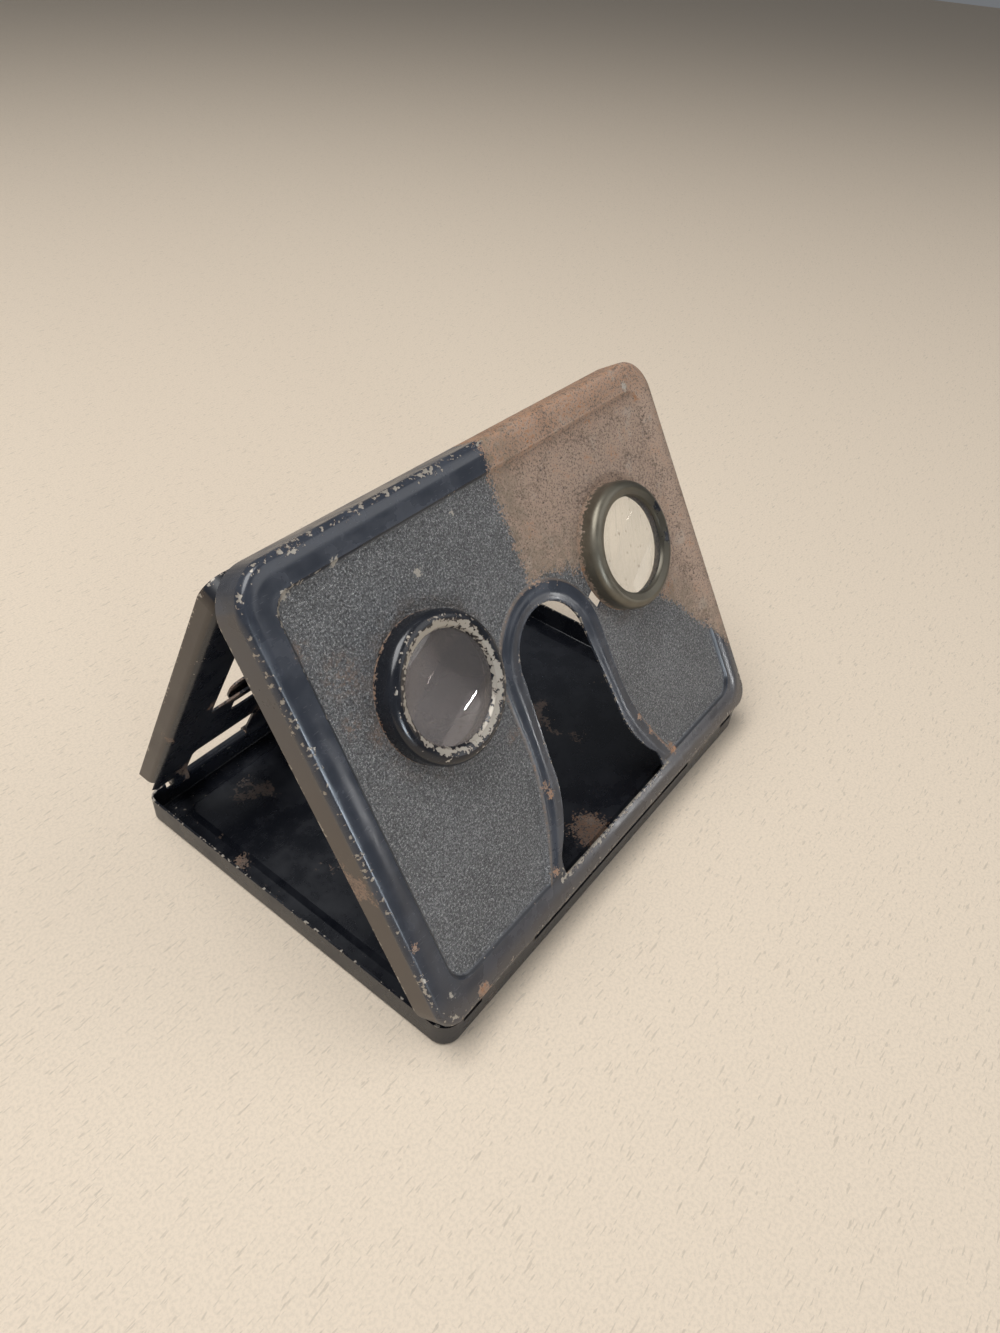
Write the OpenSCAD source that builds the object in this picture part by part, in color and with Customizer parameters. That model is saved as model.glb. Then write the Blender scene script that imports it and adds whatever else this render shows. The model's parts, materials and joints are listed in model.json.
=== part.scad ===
// Folding stereoscope of pressed tinplate: a shallow base tray, a lens plate
// hinged along its front edge and a card plate hinged along its rear edge.
// Millimetres. X runs along the hinges, the lenses look towards -Y, +Z is up
// and the tray stands on z = 0. The plates are drawn leaning on each other.

/* [Sheet and hinges] */
// Thickness of the tinplate
sheet_t = 0.5; // [0.4:0.05:0.6]
// Distance between the two hinge wires
hinge_span = 87.85; // [84:0.05:94]
// Height of the hinge wires above the table
hinge_z = 6.7; // [6.5:0.1:7.5]
// Diameter of the hinge wires
wire_d = 1.2; // [1:0.1:1.4]
// Radial running gap between a wire and a turning knuckle
running_gap = 0.06; // [0.03:0.01:0.1]
// Gap between neighbouring knuckles along the wire
knuckle_gap = 0.4; // [0.3:0.1:1]
// Distance from the tray's side to the end of a hinge wire
wire_inset = 5.8; // [5.6:0.1:8]
// Length of a tray knuckle
knuckle_len = 17.2; // [10:0.1:18]

/* [Base tray] */
// Outer width of the tray; both plates follow it
tray_w = 122; // [112:0.5:132]
// Height of the tray's side walls
tray_wall_h = 6.5; // [6:0.1:6.6]
// Corner radius at the front of the tray
tray_front_r = 4; // [2.5:0.1:5]
// Corner radius at the rear of the tray
tray_rear_r = 2.8; // [2.2:0.1:4]
// Bend radius between the tray's floor and its walls
tray_bend_r = 0.8; // [0.6:0.1:1.8]
// Width of the flat channel between the walls and the raised floor
channel_w = 5.4; // [4:0.1:8]
// Height of the raised floor panel
floor_rise = 1.2; // [0.6:0.1:1.6]
// Width of the slope round the raised floor panel
floor_slope = 1.6; // [1:0.1:3]

/* [Lens plate] */
// Lean of the lens plate, measured from the table, in degrees
lens_tilt = 58.45; // [50:0.05:70]
// Gap between the tray's sides and the lens plate's side flanges
lens_side_gap = 0.8; // [0.5:0.1:2]
// Outer height of the lens plate
lens_plate_h = 93.6; // [90:0.1:98]
// Depth of the lens plate's side and top flanges
lens_flange = 7.1; // [6.5:0.1:8]
// Depth of the lens plate's bottom flange, from its face to the hinge wire
lens_foot = 3.3; // [3.1:0.1:4.2]
// Corner radius at the top of the lens plate
lens_top_r = 8.5; // [7:0.1:10]
// Corner radius at the foot of the lens plate
lens_foot_r = 5; // [4:0.1:7]
// Bend radius between the lens plate's face and its flanges
lens_bend_r = 1.2; // [0.8:0.1:1.6]
// Width of the raised border round the sunk field
border_w = 6.2; // [5:0.1:8]
// Corner radius of the sunk field
field_r = 4.4; // [3:0.1:6]
// Depth of the sunk field
field_depth = 0.8; // [0.4:0.1:1.2]
// Width of the slope round the sunk field
field_slope = 0.9; // [0.5:0.1:1.5]

/* [Nose cut-out] */
// Height of the cut-out's top above the plate's bottom edge
nose_top = 58; // [55:0.1:60]
// Radius of the arch at the top
nose_arch_r = 11.1; // [9:0.1:12]
// Half width at the waist
nose_waist = 12.7; // [12.3:0.1:14]
// Height of the waist
nose_waist_v = 27.5; // [25:0.5:30]
// Half width where the foot's corners begin
nose_foot = 19.2; // [17:0.1:22]
// Height where the foot's corners begin
nose_foot_v = 10.5; // [9.5:0.1:12]
// Radius of the foot's corners
nose_foot_r = 5; // [2:0.1:6]
// Height of the straight bottom edge
nose_bottom = 5.2; // [4.6:0.1:5.6]
// Radius of the arch of the raised band round the cut-out
band_arch_r = 16.4; // [15:0.1:17.4]
// Height of the band's top above the plate's bottom edge
band_top = 62; // [60:0.1:64.5]
// Height at which the band starts to spread
band_flare_v = 35; // [32:0.5:39]
// Radius of the band's spreading sides
band_flare_r = 48; // [42:0.2:60]

/* [Lenses and rims] */
// Distance between the two lens centres
lens_spacing = 64; // [60:0.1:66]
// Height of the lens centres above the plate's bottom edge
lens_v = 57.3; // [55:0.1:59]
// Diameter of a lens
lens_d = 25; // [24:0.1:26]
// Thickness of a lens at its edge
lens_edge_t = 3.6; // [3.2:0.1:3.8]
// Radius of curvature of both faces of a lens
lens_face_r = 99; // [80:1:140]
// Diameter of the hole in the plate behind a lens
aperture_d = 22; // [20:0.1:22.6]
// Outer diameter of a rim where it meets the plate
rim_d = 29; // [28.4:0.1:30]
// Diameter of the opening in a rim
rim_opening_d = 22.5; // [22:0.1:23]
// Width of a rim's bent tabs
tab_w = 3.4; // [2.5:0.1:3.8]
// Length of a rim's bent tabs behind the plate
tab_len = 2; // [1.2:0.1:2.5]
// Clearance round a tab in its slot
tab_gap = 0.3; // [0.1:0.05:0.4]
// How far the open slot shows beyond its rim
slot_reach = 1.7; // [1:0.1:2]

/* [Card plate] */
// Lean of the card plate, measured from the table, in degrees
card_tilt = 62.8; // [61:0.05:66]
// How far the card plate's sides stand inside the tray's sides
card_inset = 0.35; // [0.2:0.05:1.5]
// Height of the card plate above the hinge wire
card_plate_h = 83.9; // [80:0.1:84.5]
// Depth of the card plate's flanges
card_flange = 4.7; // [4:0.1:5]
// Corner radius at the top of the card plate
card_corner_r = 4; // [4:0.1:6]
// Bend radius between the card plate's face and its flanges
card_bend_r = 2; // [1:0.1:2.5]
// Outer radius of the card plate's rolled knuckles
roll_r = 1.5; // [1.45:0.05:1.6]
// Width of the picture window
window_w = 100.8; // [90:0.2:104]
// Height of the window's lower edge above the hinge wire
window_low = 32; // [31.5:0.1:34]
// Height of the window's upper edge above the hinge wire
window_high = 75; // [72:0.5:77]
// Height of the notch above a tray knuckle
notch_h = 11.5; // [8:0.1:13]
// Corner radius of a notch
notch_r = 1.5; // [0.6:0.1:2]
// Height of the bend of a card lip above the hinge wire
lip_bend_v = 29.5; // [28:0.1:30]
// Height of a card lip's free edge above the hinge wire
lip_top_v = 33.6; // [33:0.1:36]
// Distance from the middle to a lip's inner end
lip_start = 26; // [22:0.5:30]
// Length of a card lip
lip_len = 17.6; // [14:0.2:21]
// Space for the card between the plate and the lip behind it
card_space = 1.4; // [1.2:0.1:2]
// Lower edge of the hole that a lip is cut from
lip_hole_low = 24.4; // [22:0.1:25]
// Corner radius of a lip's free edge
lip_r = 2.2; // [1.5:0.1:2.6]

/* [Hidden] */
$fn = 96;
over = 1;                                   // how far a cutter passes a surface
wire_r = wire_d / 2;
tray_knuckle_r = wire_r + sheet_t;          // outer radius of a tray knuckle
bore_r = wire_r + running_gap;              // bore of a turning knuckle
lens_knuckle_r = bore_r + sheet_t;
end_knuckle_len = 4;                        // the short knuckles at both ends
wire_half = tray_w / 2 - wire_inset;
outer_knuckle = wire_half - knuckle_gap - end_knuckle_len;
knuckle_end = outer_knuckle - knuckle_gap;  // of a tray knuckle, from the middle
knuckle_start = knuckle_end - knuckle_len;
lens_plate_w = tray_w + 2 * (lens_side_gap + sheet_t);
card_plate_w = tray_w - 2 * card_inset;
tray_d = hinge_span + 2 * tray_knuckle_r;
seam_angle = 75;                            // opening left by a knuckle's curl
clear = 0.35;                               // smallest gap between turning sheets

// Card plate, measured from its hinge wire
card_face = 0.2;                            // the plate's front face
flange_foot_v = 5.9;                        // foot of the side flanges at the face
flange_rear_v = 4;                          // and at their rear edge

// The box round the whole instrument is centred on y = 0
lens_reach = lens_foot * sin(lens_tilt) - bore_r * cos(lens_tilt)
             - lens_bend_r * (sin(lens_tilt) + cos(lens_tilt) - 1);
card_reach = (card_face + card_flange) * sin(card_tilt) - flange_rear_v * cos(card_tilt);
y_shift = (lens_reach - card_reach) / 2;
front_y = y_shift - hinge_span / 2;
rear_y = y_shift + hinge_span / 2;

// Lens and rim: distances in front of the sunk field
lens_r = lens_d / 2;
aperture_r = aperture_d / 2;
function sag(r) = lens_face_r - sqrt(lens_face_r * lens_face_r - r * r);
lens_seat = sag(lens_r) - sag(aperture_r);  // the lens rests on the aperture's edge
lip_under = lens_seat + lens_edge_t + sag(lens_r) - sag(rim_opening_d / 2);
rim_r = rim_d / 2;
rim_rise = 1.3;                             // of the rim above its inner edge
rim_top = lip_under + rim_rise;
shoulder_r = 1.9;                           // radius of the rim's rounded shoulder
tab_t = sheet_t / 2;                        // a tab is thinned to half the sheet
slot_w = tab_t + 1.2 * tab_gap;             // hidden under the rim's wall
open_slot_w = sheet_t + tab_gap + slot_reach;
tab_angles = [94, 214, 334];
open_slot = 334;                            // on the right-hand side, mirrored

// Nose cut-out and its band
nose_arch_v = nose_top - nose_arch_r;
nose_drop = nose_waist_v - nose_foot_v;
nose_spread = nose_foot - nose_waist;
nose_flare_r = (nose_drop * nose_drop + nose_spread * nose_spread) / (2 * nose_spread);
nose_turn = asin(nose_drop / nose_flare_r);
nose_half = nose_foot + nose_foot_r * (1 - cos(nose_turn));
nose_corner_v = nose_foot_v - nose_foot_r * sin(nose_turn);
foot_steps = 8;
band_arch_v = band_top - band_arch_r;
slope = field_slope / field_depth;          // of the sunk field's sides

// Foot of the card plate
fillet_r = 3;                               // where the plate runs into its roll
fillet_n = card_face - fillet_r;
fillet_v = sqrt((roll_r + fillet_r) * (roll_r + fillet_r) - fillet_n * fillet_n);
card_skirt = 20;                            // cut away again below the hinge
card_foot_v = 1.6;

tin = [0.13, 0.13, 0.15];
steel = [0.62, 0.60, 0.56];
rim_metal = [0.55, 0.53, 0.47];
clear_glass = [0.85, 0.92, 0.92, 0.35];

// Block section: its lower outer corner is rounded
module rounded_section(w, h, bend) {
    square([w - bend, h]);
    translate([0, bend]) square([w, h - bend]);
    translate([w - bend, bend]) circle(bend);
}

// Floor and wall of a pan
module sheet_section(w, h, bend) {
    difference() {
        rounded_section(w, h, bend);
        translate([-over, sheet_t]) rounded_section(w - sheet_t + over, h, bend - sheet_t);
    }
}

// Half of a pan of sheet metal, from its near wall at y = 0 to y = d
module half_pan(w, d, h, r, bend) {
    span(-w / 2 + r, w / 2 - r) translate([d, 0]) mirror([1, 0]) sheet_section(d, h, bend);
    mirrored() translate([w / 2 - r, 0, 0]) {
        translate([0, d, 0]) rotate([90, 0, 0]) linear_extrude(d - r) sheet_section(r, h, bend);
        translate([0, r, 0]) rotate([0, 0, -90]) rotate_extrude(angle = 90) sheet_section(r, h, bend);
    }
}

// Pan of sheet metal, open at the top, with its own corner radii near and far;
// its halves overlap in the middle
module sheet_pan(w, d, h, r_near, r_far, bend) {
    half_pan(w, d / 2 + over, h, r_near, bend);
    translate([0, d, 0]) mirror([0, 1, 0]) half_pan(w, d / 2 + over, h, r_far, bend);
}

// Flat-topped block with sloping sides, wide at z = 0
module sloped_block(w, d, r, h, run) {
    side = [[0, 0], [r, 0], [r - run, h], [0, h]];
    span(-w / 2 + r, w / 2 - r) polygon([[0, 0], [d, 0], [d - run, h], [run, h]]);
    mirrored() translate([w / 2 - r, 0, 0]) {
        translate([0, d - r, 0]) rotate([90, 0, 0]) linear_extrude(d - 2 * r) polygon(side);
        translate([0, d - r, 0]) rotate_extrude(angle = 90) polygon(side);
        translate([0, r, 0]) rotate([0, 0, -90]) rotate_extrude(angle = 90) polygon(side);
    }
}

// Section drawn in (y, z), extruded along x
module span(x_low, x_high) {
    translate([x_low, 0, 0]) rotate([90, 0, 90]) linear_extrude(x_high - x_low) children();
}

module mirrored() {
    children();
    mirror([1, 0, 0]) children();
}

// Curled knuckle round the origin; the sheet arrives along +y at x = bore + t
module curl(bore) {
    reach = 2 * (bore + sheet_t);
    difference() {
        circle(bore + sheet_t);
        circle(bore);
        polygon([[0, 0], [reach, 0], [reach, reach], [reach * cos(seam_angle), reach * sin(seam_angle)]]);
    }
}

module hinge_wire() {
    span(-wire_half, wire_half) circle(wire_r);
}

// Base tray
module base_tray() {
    low_wall = hinge_z - roll_r - clear;
    color(tin) difference() {
        union() {
            difference() {
                translate([0, front_y - tray_knuckle_r, 0])
                    sheet_pan(tray_w, tray_d, tray_wall_h, tray_front_r, tray_rear_r, tray_bend_r);
                // Lower walls beside and between the tray's own knuckles
                mirrored() translate([knuckle_start - knuckle_gap, 0, 0]) tray_notches(low_wall);
            }
            translate([0, front_y - tray_knuckle_r + channel_w - sheet_t, 0])
                sloped_block(tray_w - 2 * channel_w + 2 * sheet_t, tray_d - 2 * channel_w + 2 * sheet_t,
                             tray_front_r, floor_rise + sheet_t, floor_slope);
            for (side = [-1, 1]) translate([0, side < 0 ? front_y : rear_y, hinge_z])
                mirror([0, side < 0 ? 0 : 1, 0]) mirrored()
                    span(knuckle_start, knuckle_end) tray_knuckle();
        }
        translate([0, front_y - tray_knuckle_r + channel_w, 0])
            sloped_block(tray_w - 2 * channel_w, tray_d - 2 * channel_w, tray_front_r - sheet_t,
                         floor_rise, floor_slope);
    }
}

module tray_notches(low_wall) {
    outer = wire_half - knuckle_start + 2 * knuckle_gap;
    for (y = [front_y, rear_y]) {
        translate([-knuckle_start, y - 2 * tray_knuckle_r, low_wall])
            cube([knuckle_start, 4 * tray_knuckle_r, hinge_z]);
        translate([knuckle_len + knuckle_gap, y - 2 * tray_knuckle_r, low_wall])
            cube([outer - knuckle_len, 4 * tray_knuckle_r, hinge_z]);
        translate([-over, y - 2 * tray_knuckle_r, tray_wall_h - clear])
            cube([knuckle_len + 2 * over, 4 * tray_knuckle_r, hinge_z]);
    }
}

module tray_knuckle() {
    rotate(180) curl(wire_r);
    translate([-tray_knuckle_r, tray_wall_h - clear - hinge_z - over])
        square([sheet_t, hinge_z - tray_wall_h + clear + over]);
}

module front_hinge_wire() {
    color(steel) translate([0, front_y, hinge_z]) hinge_wire();
}

module rear_hinge_wire() {
    color(steel) translate([0, rear_y, hinge_z]) hinge_wire();
}

// Lens plate: x across, y up the plate, z out of its face
module on_lens_plate() {
    translate([0, front_y, hinge_z]) rotate([lens_tilt, 0, 0]) translate([0, bore_r, lens_foot]) children();
}

module lens_plate() {
    color(tin) on_lens_plate() {
        difference() {
            union() {
                mirror([0, 0, 1])
                    sheet_pan(lens_plate_w, lens_plate_h, lens_flange, lens_foot_r, lens_top_r, lens_bend_r);
                mirror([0, 0, 1]) sunk_field(0, field_depth + sheet_t, sheet_t / 2);
            }
            mirror([0, 0, 1]) sunk_field(-over, field_depth, 0);
            translate([0, 0, -lens_flange]) linear_extrude(lens_flange + over) nose_outline();
            for (side = [-1, 1]) translate([side * lens_spacing / 2, lens_v, 0]) lens_holes(side);
            // The bottom flange ends at the hinge wire
            translate([-lens_plate_w / 2 + lens_foot_r, -over, -lens_flange - over])
                cube([lens_plate_w - 2 * lens_foot_r, 2 * over + sheet_t, lens_flange + over - lens_foot]);
            below_walls();
            mirrored() translate([knuckle_start - knuckle_gap, -over, -lens_flange])
                cube([knuckle_len + 2 * knuckle_gap, 2 * over + sheet_t,
                      lens_flange - lens_foot + tray_knuckle_r + clear]);
        }
        translate([0, -bore_r, -lens_foot]) {
            span(-knuckle_start + knuckle_gap, knuckle_start - knuckle_gap) curl(bore_r);
            mirrored() span(outer_knuckle, outer_knuckle + end_knuckle_len) curl(bore_r);
        }
    }
}

// Level cut that ends the side flanges just above the tray's walls
module below_walls() {
    translate([0, -bore_r, -lens_foot]) rotate([-lens_tilt, 0, 0])
        translate([-lens_plate_w, -2 * lens_flange, tray_wall_h + clear - hinge_z - lens_plate_h])
            cube([2 * lens_plate_w, 4 * lens_flange, lens_plate_h]);
}

module lens_holes(side) {
    translate([0, 0, -lens_flange]) cylinder(r = aperture_r, h = lens_flange + over);
    for (angle = tab_angles)
        mirror([side > 0 ? 1 : 0, 0, 0]) rotate([0, 0, angle])
            translate([rim_r - sheet_t - tab_gap, -tab_w / 2 - tab_gap, -lens_flange])
                cube([side > 0 && angle == open_slot ? open_slot_w : slot_w,
                      tab_w + 2 * tab_gap, lens_flange + over]);
}

// Outline of the nose cut-out
module nose_outline() {
    translate([0, nose_arch_v]) circle(nose_arch_r);
    polygon([[-nose_arch_r, nose_arch_v], [nose_arch_r, nose_arch_v],
             [nose_waist, nose_waist_v], [-nose_waist, nose_waist_v]]);
    difference() {
        translate([-nose_half, nose_foot_v]) square([2 * nose_half, nose_drop]);
        for (side = [-1, 1])
            translate([side * (nose_waist + nose_flare_r), nose_waist_v]) circle(nose_flare_r);
    }
    foot = [for (i = [0:foot_steps]) let (a = nose_turn * (1 - i / foot_steps))
            [nose_half - nose_foot_r * (1 - cos(a)), nose_corner_v + nose_foot_r * sin(a)]];
    polygon(concat(foot, [[nose_half, nose_bottom], [-nose_half, nose_bottom]],
                   [for (i = [foot_steps:-1:0]) [-foot[i][0], foot[i][1]]]));
}

// Sunk field round the nose band, from one depth to another; its sides slope
module sunk_field(z_low, z_high, grow) {
    low = grow - z_low * slope;
    rise = z_high - z_low;
    difference() {
        translate([0, border_w - low, z_low])
            sloped_block(lens_plate_w - 2 * border_w + 2 * low, lens_plate_h - 2 * border_w + 2 * low,
                         field_r + low, rise, rise * slope);
        translate([0, 0, z_low - over]) nose_band(-low - over * slope, rise + 2 * over);
    }
}

// Raised band round the nose cut-out, wider further down
module nose_band(grow, h) {
    spread = h * slope;
    r_top = band_arch_r + grow;
    r_foot = r_top + spread;
    foot_w = 4.8 * band_arch_r;
    translate([0, band_arch_v, 0]) rotate_extrude(angle = 180)
        polygon([[0, 0], [r_top, 0], [r_foot, h], [0, h]]);
    translate([0, band_arch_v, 0]) rotate([90, 0, 0]) linear_extrude(band_arch_v - band_flare_v)
        polygon([[-r_top, 0], [r_top, 0], [r_foot, h], [-r_foot, h]]);
    difference() {
        translate([-foot_w / 2, 0, 0]) cube([foot_w, band_flare_v, h]);
        mirrored() translate([band_arch_r + band_flare_r, band_flare_v, 0])
            cylinder(r1 = band_flare_r - grow, r2 = band_flare_r - grow - spread, h = h);
    }
}

// Biconvex lens, its rear edge resting on the aperture
module lens() {
    mid = lens_seat + lens_edge_t / 2;
    half = lens_edge_t / 2 + sag(lens_r);
    translate([0, 0, mid]) rotate_extrude() intersection() {
        translate([0, half - lens_face_r]) circle(lens_face_r, $fn = 1440);
        translate([0, lens_face_r - half]) circle(lens_face_r, $fn = 1440);
        translate([0, -half]) square([lens_r, 2 * half]);
    }
}

module in_lens_seat(side) {
    on_lens_plate() translate([side * lens_spacing / 2, lens_v, -field_depth]) children();
}

module left_lens() {
    color(clear_glass) in_lens_seat(-1) lens();
}

module right_lens() {
    color(clear_glass) in_lens_seat(1) lens();
}

// Domed rim: steep wall, rounded shoulder and an inner lip that holds the lens
module rim_ring() {
    shoulder_x = rim_r - shoulder_r;
    shoulder_z = rim_top - shoulder_r;
    rotate_extrude() difference() {
        union() {
            translate([rim_opening_d / 2, 0]) square([shoulder_x - rim_opening_d / 2, rim_top]);
            translate([rim_opening_d / 2, 0]) square([rim_r - rim_opening_d / 2, shoulder_z]);
            translate([shoulder_x, shoulder_z]) circle(shoulder_r);
        }
        translate([0, -over]) square([shoulder_x, over + lip_under]);
        translate([0, -over]) square([rim_r - sheet_t, over + shoulder_z]);
        translate([shoulder_x, shoulder_z]) circle(shoulder_r - sheet_t);
        polygon([[rim_opening_d / 2 - over, lip_under + sheet_t], [shoulder_x, rim_top],
                 [rim_opening_d / 2 - over, rim_top + over]]);
    }
}

module rim(side) {
    rim_ring();
    for (angle = tab_angles)
        if (side < 0 || angle != open_slot)
            mirror([side > 0 ? 1 : 0, 0, 0]) rotate([0, 0, angle])
                translate([rim_r - sheet_t, -tab_w / 2, -2 * sheet_t]) {
                    cube([tab_t, tab_w, 3 * sheet_t]);
                    cube([tab_len, tab_w, sheet_t]);
                }
}

module left_lens_rim() {
    color(rim_metal) in_lens_seat(-1) rim(-1);
}

module right_lens_rim() {
    color(rim_metal) in_lens_seat(1) rim(1);
}

// Card plate: x across, y up the plate, z away from the lenses
module on_card_plate() {
    translate([0, rear_y, hinge_z]) rotate([0, 0, 180]) rotate([card_tilt, 0, 0]) children();
}

module card_plate() {
    color(tin) on_card_plate() {
        difference() {
            translate([0, -card_skirt, card_face])
                sheet_pan(card_plate_w, card_plate_h + card_skirt, card_flange,
                          card_corner_r, card_corner_r, card_bend_r);
            // Side flanges are cut nearly level at the foot
            span(-card_plate_w, card_plate_w)
                polygon([[-2 * card_skirt, card_face - over], [card_foot_v, card_face - over],
                         [card_foot_v, card_face + sheet_t], [flange_foot_v, card_face + sheet_t],
                         [flange_rear_v, card_face + card_flange], [flange_rear_v, card_face + card_flange + over],
                         [-2 * card_skirt, card_face + card_flange + over]]);
            translate([-window_w / 2, window_low, card_face - over])
                cube([window_w, window_high - window_low, sheet_t + 2 * over]);
            mirrored() {
                translate([knuckle_start - knuckle_gap, -over, card_face - over])
                    notch_cutter(knuckle_len + 2 * knuckle_gap, notch_h + over, notch_r);
                translate([lip_start, lip_bend_v, card_face - over]) mirror([0, 1, 0])
                    notch_cutter(lip_len, lip_bend_v - lip_hole_low, lip_r);
            }
        }
        span(-knuckle_start + knuckle_gap, knuckle_start - knuckle_gap) rolled_foot();
        mirrored() {
            span(outer_knuckle, outer_knuckle + end_knuckle_len) rolled_foot();
            card_lip();
        }
    }
}

// Block with two rounded upper corners
module notch_cutter(w, h, r) {
    linear_extrude(sheet_t + 2 * over) {
        square([w, h - r]);
        translate([r, 0]) square([w - 2 * r, h]);
        for (x = [r, w - r]) translate([x, h - r]) circle(r);
    }
}

// Section of the card plate's foot, rolled round the hinge wire
module rolled_foot() {
    touch = roll_r / (roll_r + fillet_r);
    difference() {
        union() {
            circle(roll_r);
            translate([0, card_face]) square([fillet_v, sheet_t]);
            polygon([[0, 0], [touch * fillet_v, touch * fillet_n], [fillet_v, card_face],
                     [fillet_v, card_face + sheet_t]]);
        }
        circle(bore_r);
        translate([fillet_v, fillet_n]) circle(fillet_r);
    }
}

// Lip cut from the plate and bent backwards and up to hold the card
module card_lip() {
    bend_in = card_space / 2;
    bend_out = bend_in + sheet_t;
    bend_n = card_face + sheet_t + bend_in;
    span(lip_start, lip_start + lip_len) difference() {
        translate([lip_bend_v, bend_n]) circle(bend_out);
        translate([lip_bend_v, bend_n]) circle(bend_in);
        translate([lip_bend_v, bend_n - 2 * bend_out]) square([2 * bend_out, 4 * bend_out]);
    }
    translate([lip_start, lip_bend_v, bend_n + bend_in])
        linear_extrude(sheet_t) {
            square([lip_len, lip_top_v - lip_bend_v - lip_r]);
            translate([lip_r, 0]) square([lip_len - 2 * lip_r, lip_top_v - lip_bend_v]);
            for (x = [lip_r, lip_len - lip_r])
                translate([x, lip_top_v - lip_bend_v - lip_r]) circle(lip_r);
        }
}

base_tray();
front_hinge_wire();
rear_hinge_wire();
lens_plate();
left_lens();
right_lens();
left_lens_rim();
right_lens_rim();
card_plate();
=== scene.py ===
import json
import math
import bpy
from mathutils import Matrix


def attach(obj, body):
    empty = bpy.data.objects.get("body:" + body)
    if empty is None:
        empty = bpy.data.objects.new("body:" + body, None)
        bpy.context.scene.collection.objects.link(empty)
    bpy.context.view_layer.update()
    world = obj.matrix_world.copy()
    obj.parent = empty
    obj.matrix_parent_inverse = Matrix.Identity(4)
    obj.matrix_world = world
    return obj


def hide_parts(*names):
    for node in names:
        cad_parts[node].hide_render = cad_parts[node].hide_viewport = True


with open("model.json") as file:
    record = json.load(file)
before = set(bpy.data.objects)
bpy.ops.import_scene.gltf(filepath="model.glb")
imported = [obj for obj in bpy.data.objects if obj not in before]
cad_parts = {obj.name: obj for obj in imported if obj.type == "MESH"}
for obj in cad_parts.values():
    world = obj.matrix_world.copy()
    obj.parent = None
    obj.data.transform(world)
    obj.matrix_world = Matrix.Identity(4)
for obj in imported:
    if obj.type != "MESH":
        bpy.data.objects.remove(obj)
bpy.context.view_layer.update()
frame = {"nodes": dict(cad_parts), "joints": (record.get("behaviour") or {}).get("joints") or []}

from types import SimpleNamespace
from typing import NamedTuple

import bpy
import numpy as np
from mathutils import Matrix, Vector

bl_info = {
    "name": "Folding stereoscope",
    "version": (2, 1, 0),
    "blender": (4, 5, 0),
    "location": "View3D > Sidebar > Stereoscope",
    "description": "Dresses a folding stereoscope of pressed tinplate and sets it on a studio table",
    "category": "Add Mesh",
}

MM = 0.001
JOINTS = {joint["name"]: joint for joint in frame["joints"]}
FRONT_HINGE = Vector(JOINTS["lens_plate_fold"]["pos_m"])
REAR_HINGE = Vector(JOINTS["card_plate_fold"]["pos_m"])
ACROSS = Vector((1.0, 0.0, 0.0))
# Origin, up and out directions of what lies level
LEVEL = (Vector((0.0, 0.0, 0.0)), Vector((0.0, 1.0, 0.0)), Vector((0.0, 0.0, 1.0)))

# Roughness of each finish
LACQUER, TRAY_LACQUER, CARD_LACQUER, RIM_LACQUER = 0.17, 0.22, 0.24, 0.14
CRACKLE, CHIP, RUST = 0.50, 0.50, 0.78

# Places of wear as ((across, up), radius) on their sheet or rim, in millimetres
RUST_SPOTS = (((-16.8, 25.0), 1.0), ((26.0, 7.0), 1.3), ((-50.8, 1.2), 1.6), ((-16.2, 22.6), 0.9),
              ((20.5, 15.5), 0.9), ((18.4, 20.5), 0.8), ((-23.0, 8.0), 0.7), ((-60.4, 20.0), 0.8))
TIN_SPOTS = (((-25.3, 77.4), 0.77), ((-58.0, 6.5), 0.56), ((-53.0, 86.5), 0.84), ((52.0, 88.4), 0.7),
             ((-41.6, 87.1), 0.7), ((-12.0, 84.0), 0.42))
BROWN_STAINS = (((-49.2, 69.3), 6.5), ((-46.5, 56.4), 5.0), ((-52.0, 61.0), 3.5), ((-54.5, 77.0), 3.0),
                ((-19.0, 38.0), 3.0))
BLACK_REMAINS = (((12.9, 4.6), 2.0), ((13.4, -3.6), 2.3))
FLOOR_RUST = ((2.0, -37.0), 4.5)
SIDE_RUST = ((-56.5, 18.0), 1.2)

# Lower boundary of the rust patch: a height at one place, from which it falls off as a curve
PATCH_LEFT, PATCH_PLACE, PATCH_HEIGHT, PATCH_FALL, PATCH_CURVE = 1.0, 15.3, 59.5, 0.415, 0.01136


def length(name, description, millimetres):
    """A length property; its default is given in millimetres."""
    return bpy.props.FloatProperty(name=name, description=description, default=millimetres * MM, min=0.0,
                                   precision=5, subtype="DISTANCE", unit="LENGTH")


def angle(name, description, degrees):
    """An angle property; its default is given in degrees."""
    return bpy.props.FloatProperty(name=name, description=description, default=math.radians(degrees),
                                   subtype="ANGLE", unit="ROTATION")


def colour(name, description, default):
    """A linear colour property."""
    return bpy.props.FloatVectorProperty(name=name, description=description, subtype="COLOR", size=3,
                                         min=0.0, max=1.0, default=default)


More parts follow.
